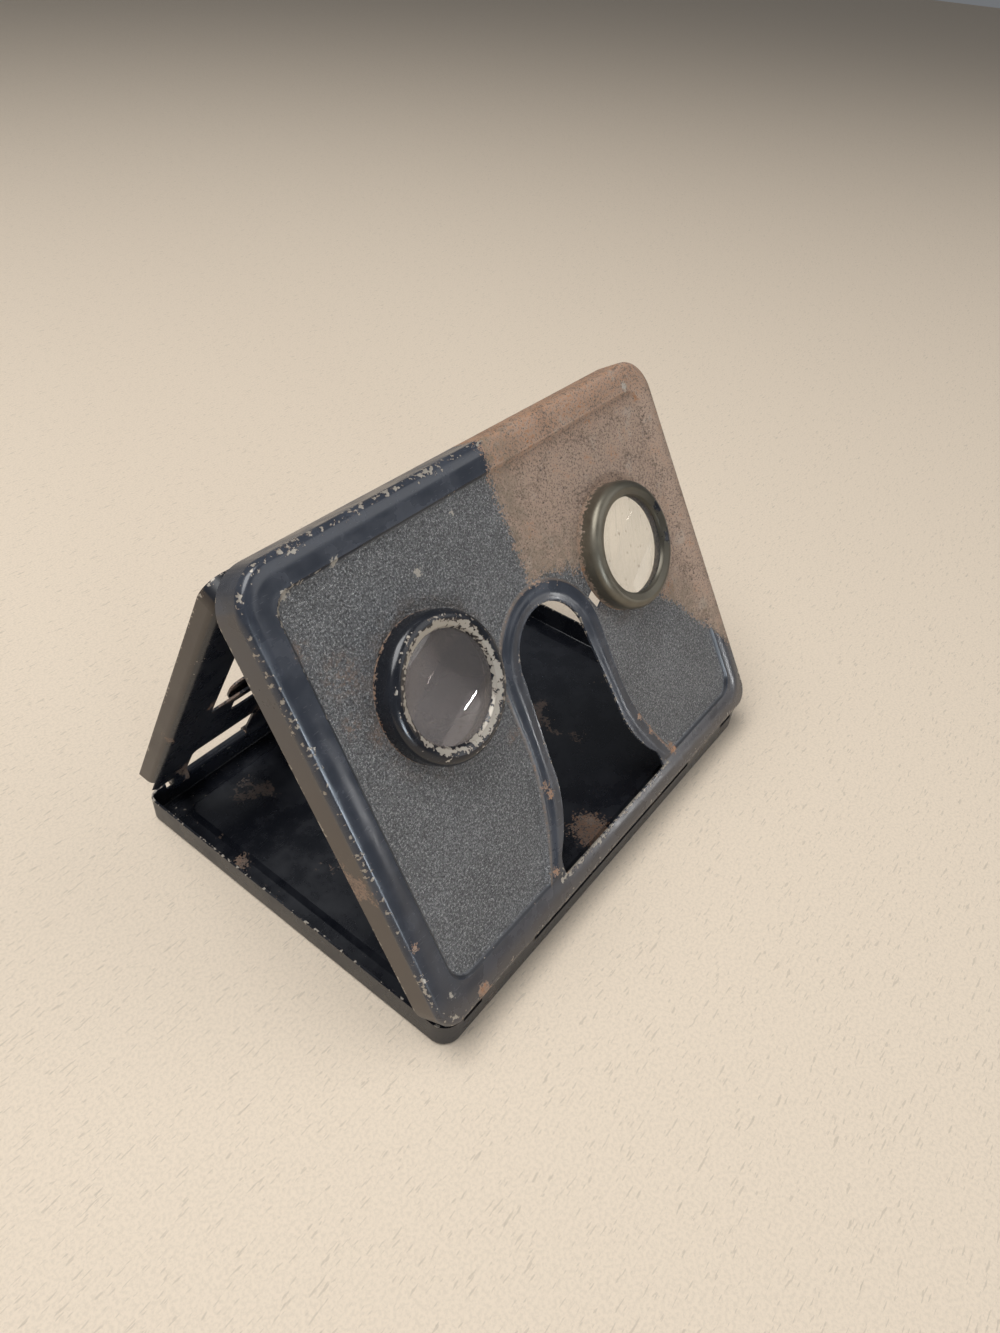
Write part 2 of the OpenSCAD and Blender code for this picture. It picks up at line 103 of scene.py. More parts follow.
class PlateSettings(bpy.types.PropertyGroup):
    """Sizes of the sheets, as the frame has them."""
    lens_tilt: angle("Lens plate lean", "Lean of the lens plate, measured from the table", 58.45)
    card_tilt: angle("Card plate lean", "Lean of the card plate, measured from the table", 62.8)
    bore: length("Bore", "Bore radius of a turning knuckle", 0.66)
    foot: length("Foot", "Depth of the lens plate's bottom flange", 3.3)
    width: length("Width", "Width of the lens plate", 124.6)
    height: length("Height", "Height of the lens plate", 93.6)
    flange: length("Flange", "Depth of the lens plate's flanges", 7.1)
    corner: length("Corner", "Corner radius at the top of the lens plate", 8.5)
    border: length("Border", "Width of the raised border", 6.2)
    field_corner: length("Field corner", "Corner radius of the crackle lacquer", 5.0)
    field_depth: length("Field depth", "Depth of the sunk field", 0.8)
    shoulder: length("Shoulder", "Width of the rounded shoulder beside the outer bend", 3.0)
    bead: length("Bead", "Height of the soft bead along the border and the band", 0.20)
    grain: length("Grain", "Size of the crackle lacquer's grains", 0.40)
    band_r: length("Band radius", "Radius of the band round the nose cut-out", 16.4)
    band_top: length("Band top", "Height of the band's top", 62.0)
    band_flare_v: length("Band flare", "Height at which the band spreads", 35.0)
    band_flare_r: length("Band flare radius", "Radius of the band's spreading sides", 48.0)
    nose_r: length("Arch radius", "Radius of the cut-out's arch", 11.1)
    nose_top: length("Cut-out top", "Height of the cut-out's top", 58.0)
    nose_waist: length("Waist", "Half width of the cut-out's waist", 12.7)
    nose_waist_v: length("Waist height", "Height of the cut-out's waist", 27.5)
    nose_flare_r: length("Cut-out flare", "Radius of the cut-out's spreading sides", 25.5)
    nose_bottom: length("Cut-out foot", "Height of the cut-out's bottom edge", 5.2)
    lens_v: length("Lens height", "Height of the lens centres", 57.3)
    lens_spacing: length("Lens spacing", "Distance between the lens centres", 64.0)
    lens_d: length("Lens diameter", "Diameter of a lens", 25.0)
    lens_edge: length("Lens edge", "Thickness of a lens at its edge", 3.6)
    lens_face_r: length("Lens curve", "Radius of curvature of a lens face", 99.0)
    aperture_d: length("Aperture", "Diameter of the hole behind a lens", 22.0)
    rim_d: length("Rim", "Outer diameter of a rim", 29.0)
    rim_opening_r: length("Rim opening", "Radius round which a rim's opening is chipped", 11.6)
    rim_shoulder_r: length("Rim shoulder", "Radius of a rim's stepped shoulder", 13.4)
    card_flange: length("Card flange", "Depth of the card plate's flanges", 4.7)
    card_width: length("Card plate width", "Width of the card plate", 121.3)
    card_height: length("Card plate height", "Height of the card plate", 83.9)
    card_window: length("Window", "Width of the picture window", 100.8)
    tray_wall: length("Tray wall", "Height of the tray's walls", 6.5)


class FinishSettings(bpy.types.PropertyGroup):
    """Colours of the lacquer, tin, rust and glass."""
    gloss: colour("Gloss lacquer", "Blue-black lacquer of the borders", (0.028, 0.032, 0.042))
    inner: colour("Inner lacquer", "Darker lacquer of the tray and the card plate", (0.0065, 0.0075, 0.011))
    field: colour("Field lacquer", "Dark grey crackle lacquer", (0.088, 0.088, 0.090))
    sparkle: colour("Sparkle", "Pale grains of the crackle lacquer", (0.46, 0.455, 0.44))
    # Painted shade that darkens the crease round the field
    shaded_crease: colour("Crease", "Dirt in the crease round the field", (0.012, 0.012, 0.014))
    seam: colour("Seam", "Worn line beside the nose band", (0.16, 0.125, 0.095))
    stain: colour("Stain", "Brown stains on the field", (0.20, 0.125, 0.085))
    tin: colour("Bare tin", "Tin where the lacquer has chipped", (0.38, 0.345, 0.295))
    brown: colour("Brown rust", "Matt rust of the large patch", (0.345, 0.245, 0.182))
    dark_brown: colour("Dark rust", "Darker parts of the rust", (0.135, 0.092, 0.068))
    olive: colour("Olive rust", "Darker rust along the patch's boundary", (0.17, 0.135, 0.095))
    orange: colour("Orange rust", "Fresh rust in the corners", (0.33, 0.145, 0.060))
    rubbed: colour("Rubbed rust", "Paler rust where hands have rubbed it", (0.40, 0.34, 0.28))
    pits: colour("Pits", "Dark pits in the rust", (0.02975, 0.0231, 0.01925))
    # Tan of the painted reflection of the pale table on the side flanges and along the bottom of the front
    table_reflection_tan: colour("Worn flange", "Dull tan of the handled side flanges", (0.095, 0.072, 0.054))
    bare_rim: colour("Bare rim", "Bare metal of the right-hand rim", (0.125, 0.112, 0.086))
    rim_black: colour("Rim black", "Remains of black on the right-hand rim", (0.008, 0.009, 0.013))
    wire: colour("Wire", "Dull steel of the hinge wires", (0.22, 0.19, 0.16))
    left_glass: colour("Left glass", "Tint of the clouded left-hand lens", (0.97, 0.87, 0.83))
    right_glass: colour("Right glass", "Tint of the clear right-hand lens", (0.96, 0.96, 0.93))
    dust: colour("Dust", "Specks on the lenses", (0.45, 0.40, 0.36))


class StageSettings(bpy.types.PropertyGroup):
    """Table, room and camera."""
    table_size: length("Table size", "Length of the table's sides", 5000.0)
    table_colour: colour("Table", "Colour of the pale table", (0.70, 0.59, 0.465))
    room_colour: colour("Room", "Colour of the light from all sides", (0.75, 0.78, 0.82))
    room_light: bpy.props.FloatProperty(name="Room light", description="Strength of the light from all sides",
                                        default=0.22, min=0.0)
    camera_place: bpy.props.FloatVectorProperty(
        name="Camera", description="Place of the camera", subtype="TRANSLATION", unit="LENGTH", size=3,
        default=(-0.13153, -0.09692, 0.17383))
    focal_length: bpy.props.FloatProperty(
        name="Focal length", description="Focal length on a film 36 mm long, in millimetres", default=25.247)
    shift: bpy.props.FloatVectorProperty(
        name="Shift", description="Shift of the picture, as a share of its height", size=2,
        default=(0.01336, -0.00665))


# Directions of the camera's picture in the frame
CAMERA_RIGHT = Vector((0.61814, -0.78395, 0.05765))
CAMERA_DOWN = Vector((-0.48112, -0.43533, -0.76093))
CAMERA_AHEAD = Vector((0.62163, 0.44262, -0.64627))
FILM_LENGTH = 36.0
NEAREST_SEEN = 0.01


class Lamp(NamedTuple):
    """A rectangular lamp, in metres and watts; spread is the width of its beam in radians."""
    name: str
    place: tuple
    aim: tuple
    size: tuple
    watts: float
    colour: tuple = (1.0, 1.0, 1.0)
    spread: float = math.pi


LAMPS = (
    Lamp("key", (-0.25, 0.20, 0.95), (0.0, 0.0, 0.03), (0.8, 0.6), 10.2),
    # Shows as a slim line in the left-hand lens
    Lamp("tube", (0.727, -0.951, 0.038), (-0.029, -0.022, 0.056), (0.125, 0.009), 0.5),
    # Shows along the outer bend of the lens plate
    Lamp("window", (-0.45, -0.95, 0.16), (0.0, 0.0, 0.04), (0.35, 0.24), 0.18, (0.80, 0.90, 1.0), 0.6),
    Lamp("fill", (0.55, -0.65, 0.75), (0.0, 0.0, 0.03), (0.8, 0.8), 2.9),
)


class Millimetres:
    """The lengths of a property group, read in millimetres."""

    def __init__(self, settings):
        self.settings = settings

    def __getattr__(self, name):
        return round(getattr(self.settings, name) / MM, 4)


def plate_sizes():
    """The sizes of the sheets in millimetres."""
    return Millimetres(bpy.context.scene.stereoscope_plates)


def scaled(colour_value, factor, lift=0.0):
    """A colour multiplied by a factor and lifted, up to white."""
    return tuple(min(1.0, channel * factor + lift) for channel in colour_value)


class Graph:
    """Shorthand for one node tree: each call adds nodes and gives an output."""

    def __init__(self, tree):
        self.tree = tree

    def node(self, kind, **settings):
        made = self.tree.nodes.new(kind)
        for name, value in settings.items():
            setattr(made, name, value)
        return made

    def put(self, socket, value):
        """Links an output to a socket, or sets the socket's own value."""
        if isinstance(value, bpy.types.NodeSocket):
            self.tree.links.new(value, socket)
        elif socket.type == "RGBA":
            socket.default_value = (*value, 1.0) if len(value) == 3 else value
        else:
            socket.default_value = value

    def math(self, operation, *values, clamp=False):
        made = self.node("ShaderNodeMath", operation=operation, use_clamp=clamp)
        for socket, value in zip(made.inputs, values):
            self.put(socket, value)
        return made.outputs["Value"]

    def chain(self, operation, first, *others):
        """Applies an operation to the first value and each of the others in turn."""
        for other in others:
            first = self.math(operation, first, other)
        return first

    def total(self, *values):
        return self.chain("ADD", *values)

    def product(self, *values):
        return self.chain("MULTIPLY", *values)

    def least(self, *values):
        return self.chain("MINIMUM", *values)

    def most(self, *values):
        return self.chain("MAXIMUM", *values)

    def less(self, value, taken):
        return self.math("SUBTRACT", value, taken)

    def gap(self, value, place):
        """Distance of a value from a place, without its sign."""
        return self.math("ABSOLUTE", self.less(value, place))

    def vector(self, operation, *values):
        made = self.node("ShaderNodeVectorMath", operation=operation)
        for socket, value in zip(made.inputs, values):
            self.put(socket, value)
        return made.outputs["Value" if operation in {"DOT_PRODUCT", "LENGTH", "DISTANCE"} else "Vector"]

    def split(self, vector):
        made = self.node("ShaderNodeSeparateXYZ")
        self.put(made.inputs[0], vector)
        return made.outputs["X"], made.outputs["Y"], made.outputs["Z"]

    def join(self, x, y, z):
        made = self.node("ShaderNodeCombineXYZ")
        for socket, value in zip(made.inputs, (x, y, z)):
            self.put(socket, value)
        return made.outputs["Vector"]

    def radius(self, x, y):
        """Distance from the origin in a plane."""
        return self.vector("LENGTH", self.join(x, y, 0.0))

    def noise(self, vector, scale, detail=3.0, roughness=0.55):
        made = self.node("ShaderNodeTexNoise")
        self.put(made.inputs["Vector"], vector)
        self.put(made.inputs["Scale"], scale)
        self.put(made.inputs["Detail"], detail)
        self.put(made.inputs["Roughness"], roughness)
        return made.outputs["Fac"]

    def cells(self, vector, scale):
        made = self.node("ShaderNodeTexVoronoi", feature="F1")
        self.put(made.inputs["Vector"], vector)
        self.put(made.inputs["Scale"], scale)
        return made.outputs["Distance"]

    def ramp(self, value, low, high, to_low=0.0, to_high=1.0):
        """Smooth step of a value between two limits."""
        made = self.node("ShaderNodeMapRange", interpolation_type="SMOOTHSTEP")
        for name, number in (("Value", value), ("From Min", low), ("From Max", high),
                             ("To Min", to_low), ("To Max", to_high)):
            self.put(made.inputs[name], number)
        return made.outputs["Result"]

    def mix(self, factor, first, second, kind="RGBA"):
        made = self.node("ShaderNodeMix", data_type=kind)
        sockets = {socket.identifier: socket for socket in made.inputs}
        tail = "Color" if kind == "RGBA" else "Float"
        self.put(sockets["Factor_Float"], factor)
        self.put(sockets["A_" + tail], first)
        self.put(sockets["B_" + tail], second)
        return next(socket for socket in made.outputs if socket.identifier == "Result_" + tail)

    def group(self, name, **values):
        """Uses a shared node group and gives its outputs by name."""
        made = self.node("ShaderNodeGroup", node_tree=bpy.data.node_groups[name])
        for label, value in values.items():
            self.put(made.inputs[label], value)
        return made.outputs


def new_group(name, inputs, outputs):
    """Empty shared node group; inputs and outputs are (label, kind)."""
    tree = bpy.data.node_groups.new(name, "ShaderNodeTree")
    for direction, sockets in (("INPUT", inputs), ("OUTPUT", outputs)):
        for label, kind in sockets:
            tree.interface.new_socket(label, in_out=direction, socket_type="NodeSocket" + kind)
    graph = Graph(tree)
    return graph, graph.node("NodeGroupInput").outputs, graph.node("NodeGroupOutput").inputs


def build_sheet_position():
    """Place on a sheet in millimetres: across it, up it and out of its face."""
    graph, source, target = new_group(
        "sheet position", (("Position", "Vector"), ("Origin", "Vector"), ("Up", "Vector"), ("Out", "Vector")),
        (("Position", "Vector"),))
    enlarge = graph.node("ShaderNodeVectorMath", operation="SCALE")
    graph.put(enlarge.inputs[0], graph.vector("SUBTRACT", source["Position"], source["Origin"]))
    enlarge.inputs["Scale"].default_value = 1.0 / MM
    place = enlarge.outputs["Vector"]
    graph.put(target["Position"], graph.join(graph.vector("DOT_PRODUCT", place, ACROSS),
                                             graph.vector("DOT_PRODUCT", place, source["Up"]),
                                             graph.vector("DOT_PRODUCT", place, source["Out"])))


def build_chips():
    """Chips that grow rarer with the distance from an edge.

    Noise of about a millimetre, lifted and sunk in stretches of about a centimetre, is a chip
    where it passes a limit: 1 less the amount, plus a share of the distance over the reach.
    """
    graph, source, target = new_group(
        "chips", (("Position", "Vector"), ("Distance", "Float"), ("Reach", "Float"), ("Amount", "Float")),
        (("Mask", "Float"),))
    spots = graph.noise(source["Position"], scale=1.05)
    stretches = graph.noise(source["Position"], scale=0.11, detail=2.0)
    far = graph.math("DIVIDE", graph.math("ABSOLUTE", source["Distance"]), source["Reach"])
    limit = graph.total(graph.product(far, 0.22), graph.less(1.0, source["Amount"]))
    value = graph.total(spots, graph.product(graph.less(stretches, 0.5), 0.5))
    graph.put(target["Mask"], graph.ramp(graph.less(value, limit), -0.012, 0.012))


def build_patch():
    """Patch with a ragged, speckled border; Inside is the depth inside it in millimetres.

    The depth is shifted by a coarse and a fine noise, each times the raggedness.
    """
    graph, source, target = new_group(
        "ragged patch", (("Position", "Vector"), ("Inside", "Float"), ("Ragged", "Float")),
        (("Mask", "Float"),))
    coarse = graph.less(graph.noise(source["Position"], scale=0.22, detail=5.0, roughness=0.7), 0.5)
    fine = graph.less(graph.noise(source["Position"], scale=1.6, detail=2.0, roughness=0.6), 0.5)
    shifted = graph.total(source["Inside"], graph.product(coarse, source["Ragged"], 4.0),
                          graph.product(fine, source["Ragged"], 6.0))
    graph.put(target["Mask"], graph.ramp(shifted, -0.25, 0.25))


def build_crackle():
    """Fine grains of crackle lacquer: their height, the pale and the dark ones, and broad shade."""
    graph, source, target = new_group(
        "crackle", (("Position", "Vector"), ("Size", "Float")),
        (("Height", "Float"), ("Sparkle", "Float"), ("Dark", "Float"), ("Shade", "Float")))
    scale = graph.math("DIVIDE", 1.0, source["Size"])
    grains = graph.cells(source["Position"], scale)
    worms = graph.noise(source["Position"], graph.product(scale, 0.9), roughness=0.6)
    pits = graph.noise(source["Position"], graph.product(scale, 2.4), detail=2.0, roughness=0.6)
    both = graph.total(graph.product(worms, 0.5), graph.product(pits, 0.5))
    graph.put(target["Height"], graph.total(graph.product(graph.less(0.5, grains), 0.6), worms))
    graph.put(target["Sparkle"], graph.product(graph.ramp(worms, 0.50, 0.60), graph.ramp(pits, 0.50, 0.60)))
    graph.put(target["Dark"], graph.ramp(both, 0.49, 0.42))
    graph.put(target["Shade"], graph.ramp(graph.noise(source["Position"], scale=0.06), 0.3, 0.7))


def build_rust():
    """Colours and height of rusted tin, from dark crust to fresh orange, rubbed pale and pitted."""
    colours = bpy.context.scene.stereoscope_finish
    graph, source, target = new_group(
        "rust", (("Position", "Vector"), ("Fresh", "Float")), (("Color", "Color"), ("Height", "Float")))
    broad = graph.noise(source["Position"], scale=0.16, detail=5.0, roughness=0.65)
    fine = graph.noise(source["Position"], scale=1.3, detail=4.0, roughness=0.7)
    flecks = graph.noise(source["Position"], scale=2.6, detail=2.0, roughness=0.6)
    rubbed = graph.ramp(graph.noise(source["Position"], scale=0.21, roughness=0.6), 0.56, 0.72)
    crust = graph.total(graph.product(broad, 0.35), graph.product(fine, 0.65))
    fresh = graph.math("ADD", graph.ramp(broad, 0.55, 0.75), source["Fresh"], clamp=True)
    shade = graph.mix(graph.ramp(crust, 0.36, 0.54), tuple(colours.dark_brown), tuple(colours.brown))
    shade = graph.mix(graph.product(rubbed, 0.45), shade, tuple(colours.rubbed))
    shade = graph.mix(graph.product(fresh, graph.ramp(fine, 0.42, 0.62)), shade, tuple(colours.orange))
    shade = graph.mix(graph.product(graph.ramp(flecks, 0.42, 0.34), 0.85), shade, tuple(colours.pits))
    graph.put(target["Color"], shade)
    graph.put(target["Height"], fine)


def build_grime():
    """Handling marks: broad matt clouds and fine scratches, for gloss surfaces."""
    graph, source, target = new_group("grime", (("Position", "Vector"),),
                                      (("Cloud", "Float"), ("Scratch", "Float")))
    cloud = graph.noise(source["Position"], scale=0.13, detail=4.0, roughness=0.6)
    stretched = graph.vector("MULTIPLY", source["Position"], (0.35, 2.4, 1.1))
    scratch = graph.noise(stretched, scale=1.1, detail=2.0, roughness=0.5)
    graph.put(target["Cloud"], graph.ramp(cloud, 0.35, 0.7))
    graph.put(target["Scratch"], graph.ramp(scratch, 0.64, 0.72))


def new_material(name):
    """Empty node material, its graph and its Principled shader."""
    material = bpy.data.materials.new(name)
    material.use_nodes = True
    material.node_tree.nodes.clear()
    graph = Graph(material.node_tree)
    output = graph.node("ShaderNodeOutputMaterial")
    shader = graph.node("ShaderNodeBsdfPrincipled")
    graph.put(output.inputs["Surface"], shader.outputs["BSDF"])
    return material, graph, shader


class Finish:
    """Layers of lacquer, wear and rust on one surface, painted from the bottom up.

    Places, distances and heights are in millimetres from the sheet's own origin.
    """

    def __init__(self, name, origin, up, out):
        self.material, self.graph, self.shader = new_material(name)
        self.place = self.graph.node("ShaderNodeTexCoord")
        self.out = out
        self.position = self.graph.group("sheet position", Position=self.place.outputs["Object"],
                                         Origin=origin, Up=up, Out=out)["Position"]
        self.colour = None
        self.roughness = None
        self.metallic = 0.0
        self.height = 0.0
        self.shine = 0.5
        self.colours = bpy.context.scene.stereoscope_finish

    def facing(self, low=0.3, high=0.6):
        """Mask of what faces out of the sheet's front."""
        turned = self.graph.vector("DOT_PRODUCT", self.place.outputs["Normal"], self.out)
        return self.graph.ramp(turned, low, high)

    def noise(self, scale, detail=3.0, roughness=0.55):
        return self.graph.noise(self.position, scale, detail, roughness)

    def spot(self, spot):
        """Depth inside a round spot, given as ((across, up), radius)."""
        place, radius = spot
        flat = self.graph.vector("MULTIPLY", self.position, (1.0, 1.0, 0.0))
        return self.graph.less(radius, self.graph.vector("DISTANCE", flat, (*place, 0.0)))

    def patch(self, inside, ragged):
        """Mask of a ragged patch, from the depth inside it."""
        return self.graph.group("ragged patch", Position=self.position, Inside=inside, Ragged=ragged)["Mask"]

    def ground(self, colour_value, roughness, metallic=0.0):
        """The surface under all layers, with matt clouds and fine scratches."""
        graph = self.graph
        marks = graph.group("grime", Position=self.position)
        pale = scaled(colour_value, 1.9, 0.012)
        self.colour = graph.mix(graph.product(marks["Cloud"], 0.40), tuple(colour_value), pale)
        self.roughness = graph.total(roughness, graph.product(marks["Cloud"], 0.16),
                                     graph.product(marks["Scratch"], 0.12))
        self.metallic = metallic

    def layer(self, mask, colour_value, roughness, metallic=0.0, rise=None):
        """Covers what is below where the mask is 1; rise is the layer's height."""
        graph = self.graph
        if not isinstance(colour_value, bpy.types.NodeSocket):
            colour_value = tuple(colour_value)
        self.colour = graph.mix(mask, self.colour, colour_value)
        self.roughness = graph.mix(mask, self.roughness, roughness, "FLOAT")
        self.metallic = graph.mix(mask, self.metallic, metallic, "FLOAT")
        if rise is not None:
            self.height = graph.total(self.height, graph.product(mask, rise))

    def chips(self, distance, reach, amount):
        """Bare tin along an edge, with a thin line of rust round it."""
        for extra, bare, metallic, rise in ((0.02, self.colours.dark_brown, 0.0, -0.01),
                                            (0.0, self.colours.tin, 0.55, -0.02)):
            mask = self.graph.group("chips", Position=self.position, Distance=distance, Reach=reach,
                                    Amount=self.graph.total(amount, extra))["Mask"]
            self.layer(mask, bare, roughness=CHIP, metallic=metallic, rise=rise)

    def rust(self, inside, ragged, fresh=0.1, strength=1.0):
        """Ragged patch of rust, from the depth inside it."""
        coat = self.graph.group("rust", Position=self.position, Fresh=fresh)
        mask = self.graph.product(self.patch(inside, ragged), strength)
        self.layer(mask, coat["Color"], roughness=RUST, rise=self.graph.product(coat["Height"], 0.10))

    def done(self):
        """Links the layers to the shader and gives the material."""
        bump = self.graph.node("ShaderNodeBump")
        bump.inputs["Strength"].default_value = 1.0
        bump.inputs["Distance"].default_value = MM
        self.graph.put(bump.inputs["Height"], self.height)
        for name, value in (("Base Color", self.colour), ("Roughness", self.roughness),
                            ("Metallic", self.metallic), ("Specular IOR Level", self.shine),
                            ("Normal", bump.outputs["Normal"])):
            self.graph.put(self.shader.inputs[name], value)
        return self.material


def lens_plate_axes():
    """Origin, up and out directions of the lens plate, from its bottom edge."""
    tilt = bpy.context.scene.stereoscope_plates.lens_tilt
    plate = plate_sizes()
    up = Vector((0.0, math.cos(tilt), math.sin(tilt)))
    out = Vector((0.0, -math.sin(tilt), math.cos(tilt)))
    return FRONT_HINGE + (plate.bore * up + plate.foot * out) * MM, up, out


def card_plate_axes():
    """Origin, up and out directions of the card plate, from its hinge wire."""
    tilt = bpy.context.scene.stereoscope_plates.card_tilt
    up = Vector((0.0, -math.cos(tilt), math.sin(tilt)))
    out = Vector((0.0, math.sin(tilt), math.cos(tilt)))
    return REAR_HINGE, up, out


def inside_rectangle(graph, aside, up, width, height, corner):
    """Distance inside a rectangle with round corners that stands on up = 0."""
    beyond = graph.less(aside, width / 2 - corner)
    over = graph.less(graph.gap(up, height / 2), height / 2 - corner)
    outer = graph.radius(graph.most(beyond, 0.0), graph.most(over, 0.0))
    inner = graph.least(graph.most(beyond, over), 0.0)
    return graph.less(corner, graph.total(outer, inner))


def outside_arch(graph, across, up, radius, centre, spread):
    """Distance outside an arch with straight sides that spread further down."""
    above = graph.most(graph.less(up, centre), 0.0)
    return graph.less(graph.radius(across, above), graph.total(radius, spread))


def parabola(graph, value, start, radius):
    """How far a side that turns with a radius has spread below its start."""
    below = graph.most(graph.less(start, value), 0.0)
    return graph.math("DIVIDE", graph.product(below, below), 2.0 * radius)


def lens_plate_places(paint, plate):
    """Where a point of the lens plate lies: its coordinates and its distances from the forms.

    edge is the distance inside the outline, field_edge inside the field's outline, and
    band and nose are distances outside the nose band and the nose cut-out.
    """
    graph = paint.graph
    across, up, out = graph.split(paint.position)
    aside = graph.math("ABSOLUTE", across)
    edge = inside_rectangle(graph, aside, up, plate.width, plate.height, plate.corner)
    field_edge = inside_rectangle(graph, aside, graph.less(up, plate.border), plate.width - 2 * plate.border,
                                  plate.height - 2 * plate.border, plate.field_corner)
    band = outside_arch(graph, aside, up, plate.band_r, plate.band_top - plate.band_r,
                        parabola(graph, up, plate.band_flare_v, plate.band_flare_r))
    arch_v = plate.nose_top - plate.nose_r
    widening = graph.product(graph.ramp(up, arch_v, plate.nose_waist_v), plate.nose_waist - plate.nose_r)
    widening = graph.total(widening, parabola(graph, up, plate.nose_waist_v, plate.nose_flare_r))
    nose = graph.most(outside_arch(graph, aside, up, plate.nose_r, arch_v, widening),
                      graph.less(plate.nose_bottom, up))
    return SimpleNamespace(across=across, aside=aside, up=up, out=out, edge=edge, field_edge=field_edge,
                           band=band, nose=nose, front=paint.facing())


def half_wave(graph, value, width):
    """Section of a soft bead: a half sine wave over a value from 0 to the width."""
    return graph.math("SINE", graph.product(graph.ramp(value, 0.0, width), math.pi))


def press_borders(paint, plate, at):
    """Soft beads along the border and the nose band, and the rounded shoulder at the outer bend.

    A bead is a half wave across its border. The shoulder falls with the square of the
    distance from where it starts, more steeply towards the top.
    """
    graph = paint.graph
    bead = half_wave(graph, at.edge, plate.border)
    share = graph.math("DIVIDE", at.nose, graph.most(graph.less(at.nose, at.band), 0.5))
    above = graph.product(graph.ramp(at.band, 0.5, -0.5),
                          graph.ramp(at.edge, plate.border - 0.5, plate.border + 1.5))
    beads = graph.most(bead, graph.product(half_wave(graph, share, 1.0), above))
    shoulder = graph.most(graph.less(plate.shoulder, at.edge), 0.0)
    fallen = graph.product(shoulder, shoulder, graph.ramp(at.up, 5.0, 55.0, 0.04, 0.095))
    paint.height = graph.less(graph.product(beads, at.front, plate.bead), fallen)


def lacquer_field(paint, plate, at):
    """Crackle lacquer in the sunk field, tarnished round the rims and stained brown."""
    graph, colours = paint.graph, paint.colours
    field = graph.product(at.front, graph.ramp(at.field_edge, 0.35, 0.95), graph.ramp(at.band, 0.25, 0.95))
    grains = graph.group("crackle", Position=paint.position, Size=plate.grain)
    shade = graph.mix(grains["Shade"], tuple(colours.field), scaled(colours.field, 1.35))
    shade = graph.mix(graph.product(grains["Dark"], 0.9), shade, scaled(colours.field, 0.22))
    shade = graph.mix(graph.product(grains["Sparkle"], 0.85), shade, tuple(colours.sparkle))
    paint.layer(field, shade, roughness=CRACKLE, rise=graph.product(grains["Height"], 0.26))
    from_rim = graph.less(graph.radius(graph.less(at.aside, plate.lens_spacing / 2),
                                       graph.less(at.up, plate.lens_v)), plate.rim_d / 2)
    cloudy = graph.ramp(paint.noise(scale=0.3, detail=4.0, roughness=0.7), 0.42, 0.62)
    tarnish = graph.product(graph.ramp(from_rim, 5.0, 0.0), cloudy, field, 0.35)
    paint.layer(tarnish, colours.dark_brown, roughness=0.6)
    # Painted reflection of the pale table: tan along the bottom of the front
    foot = graph.product(graph.ramp(at.up, 9.0, 2.0), at.front, 0.35)
    paint.layer(foot, colours.table_reflection_tan, roughness=0.32)
    speckled = graph.ramp(paint.noise(scale=0.9, detail=4.0, roughness=0.7), 0.44, 0.60)
    for stain in BROWN_STAINS:
        soft = graph.ramp(paint.spot(stain), 0.0, stain[1])
        paint.layer(graph.product(soft, speckled, 0.55), colours.stain, roughness=0.6)


def wear_and_light_lens_plate(paint, plate, at):
    """Painted shade in the crease, the worn seam, flanks tinted with a painted reflection of the table, and
    chips along every bend and cut.
    """
    graph, colours = paint.graph, paint.colours
    # Painted shade: a dark line in the crease round the field
    shaded_crease = graph.ramp(graph.gap(at.field_edge, 0.25), 0.30, 0.08)
    paint.layer(graph.product(shaded_crease, at.front, 0.7), colours.shaded_crease, roughness=0.4)
    seam = graph.ramp(graph.gap(at.band, 0.5), 0.45, 0.10)
    paint.layer(graph.product(seam, at.past_border, 0.5), colours.seam, roughness=0.5, metallic=0.2)
    half = plate.width / 2
    # Side flanges tinted tan with a painted reflection of the pale table, stronger lower down
    flank_reflection = graph.product(graph.ramp(at.out, -0.7, -1.6), graph.ramp(at.aside, half - 0.6, half - 0.3),
                          graph.ramp(at.up, 80.0, 40.0, 0.35, 0.8))
    paint.layer(flank_reflection, colours.table_reflection_tan, roughness=0.4, metallic=0.3)
    bend = graph.total(graph.most(at.edge, 0.0), graph.math("ABSOLUTE", at.out))
    upper = graph.product(graph.ramp(at.up, plate.height - 9.0, plate.height - 4.0), 0.045)
    paint.chips(graph.less(bend, 0.4), reach=1.8, amount=graph.total(upper, 0.425))
    paint.chips(graph.total(at.out, plate.flange), reach=0.8, amount=0.43)
    near_corner = graph.product(graph.ramp(graph.less(at.up, at.across), 110.0, 142.0), 0.15)
    slope = graph.total(graph.gap(at.field_edge, 0.3), graph.less(1.0, at.front))
    paint.chips(slope, reach=0.8, amount=graph.total(near_corner, 0.30))
    low_edge = graph.product(graph.ramp(at.up, 8.0, 6.0), 0.15)
    paint.chips(at.nose, reach=0.9, amount=graph.total(low_edge, 0.40))


